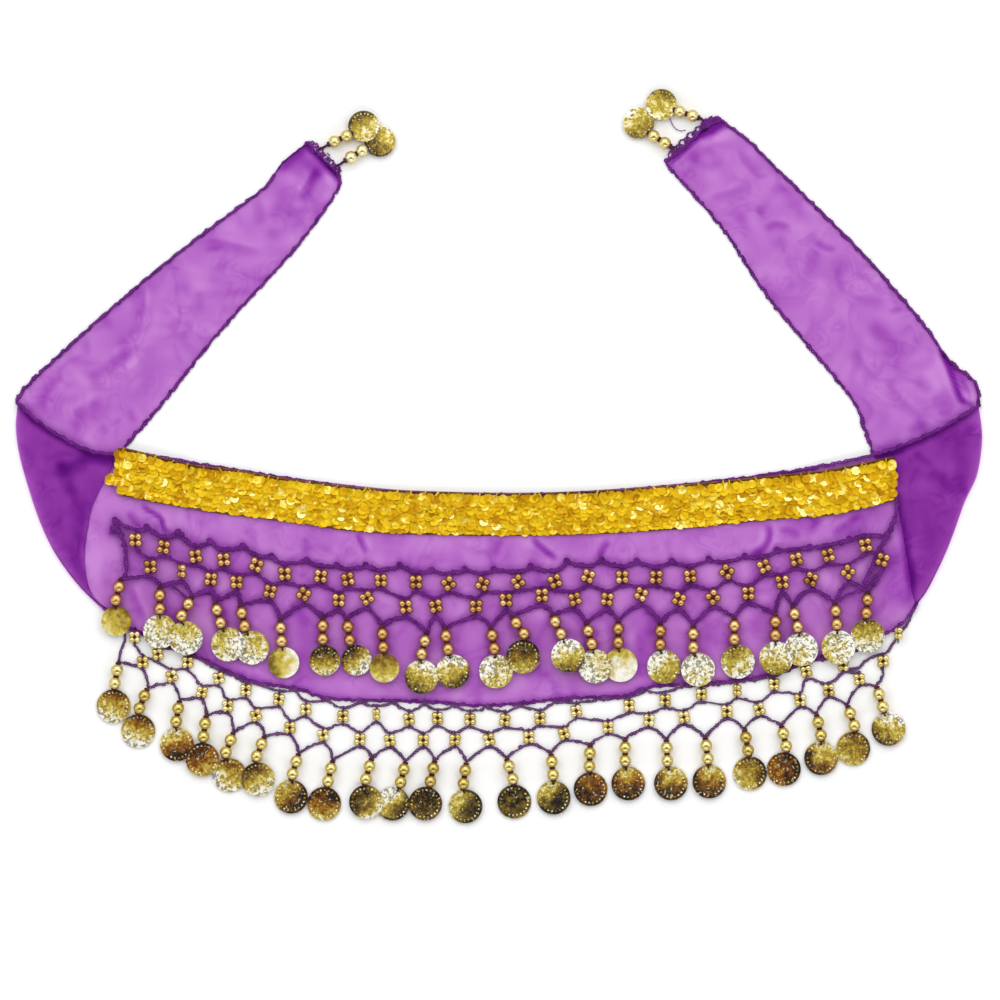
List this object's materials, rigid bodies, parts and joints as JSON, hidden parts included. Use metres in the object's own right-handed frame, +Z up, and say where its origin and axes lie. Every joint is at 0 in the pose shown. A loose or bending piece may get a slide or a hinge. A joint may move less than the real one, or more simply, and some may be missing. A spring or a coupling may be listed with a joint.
{
  "type": "belly dance hip scarf",
  "caption": "Sheer hip scarf for dance, laid flat: a curved front panel with a sequin band and beaded net fringes hung with coins, its narrowing ties folded back behind it.",
  "frame": {"origin": "centre of the scarf's outline, on the surface it lies on", "axes": "+X from the left tie to the right tie, +Y from the coin fringe to the ends of the ties, +Z up from the surface"},
  "size_m": [0.531, 0.4052, 0.0088],
  "materials": {
    "chiffon": "sheer purple polyester chiffon, fine plain weave, soft creases",
    "crochet_thread": "dark purple crochet yarn, matte and slightly hairy",
    "gold_sequins": "glossy metallised gold sequins, overlapping",
    "gold_coins": "bright stamped coins of gold-coloured metal with a beaded rim",
    "gold_beads": "glossy metallised round beads of bronze gold"
  },
  "bodies": {
    "root": {"front_panel": "chiffon", "tie_left": "chiffon", "tie_right": "chiffon", "edging_top": "crochet_thread", "edging_bottom": "crochet_thread", "edging_tie_left": "crochet_thread", "edging_tie_right": "crochet_thread", "sequin_band": "gold_sequins", "upper_net": "crochet_thread", "lower_net": "crochet_thread", "dangle_upper_01": "gold_coins", "dangle_upper_02": "gold_coins", "dangle_upper_03": "gold_coins", "dangle_upper_04": "gold_coins", "dangle_upper_05": "gold_coins", "dangle_upper_06": "gold_coins", "dangle_upper_07": "gold_coins", "dangle_upper_08": "gold_coins", "dangle_upper_09": "gold_coins", "dangle_upper_10": "gold_coins", "dangle_upper_11": "gold_coins", "dangle_upper_12": "gold_coins", "dangle_upper_13": "gold_coins", "dangle_upper_14": "gold_coins", "dangle_upper_15": "gold_coins", "dangle_upper_16": "gold_coins", "dangle_upper_17": "gold_coins", "dangle_upper_18": "gold_coins", "dangle_upper_19": "gold_coins", "dangle_upper_20": "gold_coins", "dangle_upper_21": "gold_coins", "dangle_upper_22": "gold_coins", "dangle_upper_23": "gold_coins", "dangle_lower_01": "gold_coins", "dangle_lower_02": "gold_coins", "dangle_lower_03": "gold_coins", "dangle_lower_04": "gold_coins", "dangle_lower_05": "gold_coins", "dangle_lower_06": "gold_coins", "dangle_lower_07": "gold_coins", "dangle_lower_08": "gold_coins", "dangle_lower_09": "gold_coins", "dangle_lower_10": "gold_coins", "dangle_lower_11": "gold_coins", "dangle_lower_12": "gold_coins", "dangle_lower_13": "gold_coins", "dangle_lower_14": "gold_coins", "dangle_lower_15": "gold_coins", "dangle_lower_16": "gold_coins", "dangle_lower_17": "gold_coins", "dangle_lower_18": "gold_coins", "dangle_lower_19": "gold_coins", "dangle_lower_20": "gold_coins", "dangle_lower_21": "gold_coins", "dangle_lower_22": "gold_coins", "dangle_lower_23": "gold_coins", "dangle_tip_left_01": "gold_coins", "dangle_tip_left_02": "gold_coins", "dangle_tip_right_01": "gold_coins", "dangle_tip_right_02": "gold_coins"}
  },
  "joints": []
}
